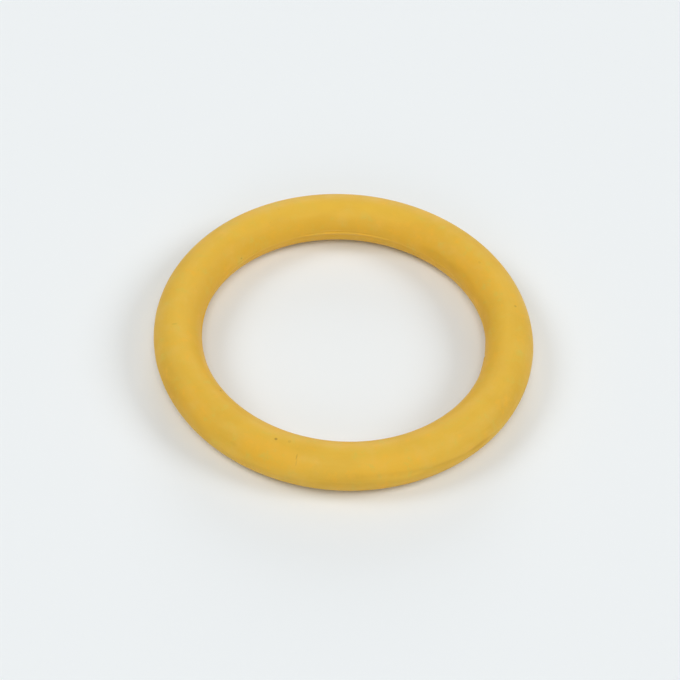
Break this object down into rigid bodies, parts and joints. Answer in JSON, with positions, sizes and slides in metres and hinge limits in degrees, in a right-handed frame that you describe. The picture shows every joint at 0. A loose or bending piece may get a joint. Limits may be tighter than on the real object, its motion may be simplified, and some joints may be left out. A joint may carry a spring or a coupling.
{
  "type": "rubber o-ring",
  "caption": "Round-section rubber sealing ring that is squeezed in a groove to seal a shaft, a housing or a flanged joint.",
  "frame": {"origin": "centre of the ring, on the surface that it lies on", "axes": "+Z along the ring's own axis, upwards as it lies flat; the ring is the same all round, so +X and +Y are any two directions in its plane"},
  "size_m": [0.04, 0.04, 0.005],
  "materials": {
    "rubber": "silky matt ochre-yellow moulded rubber, with a fine trimmed parting line round its inside and outside"
  },
  "bodies": {
    "root": {"o_ring": "rubber"}
  },
  "joints": []
}
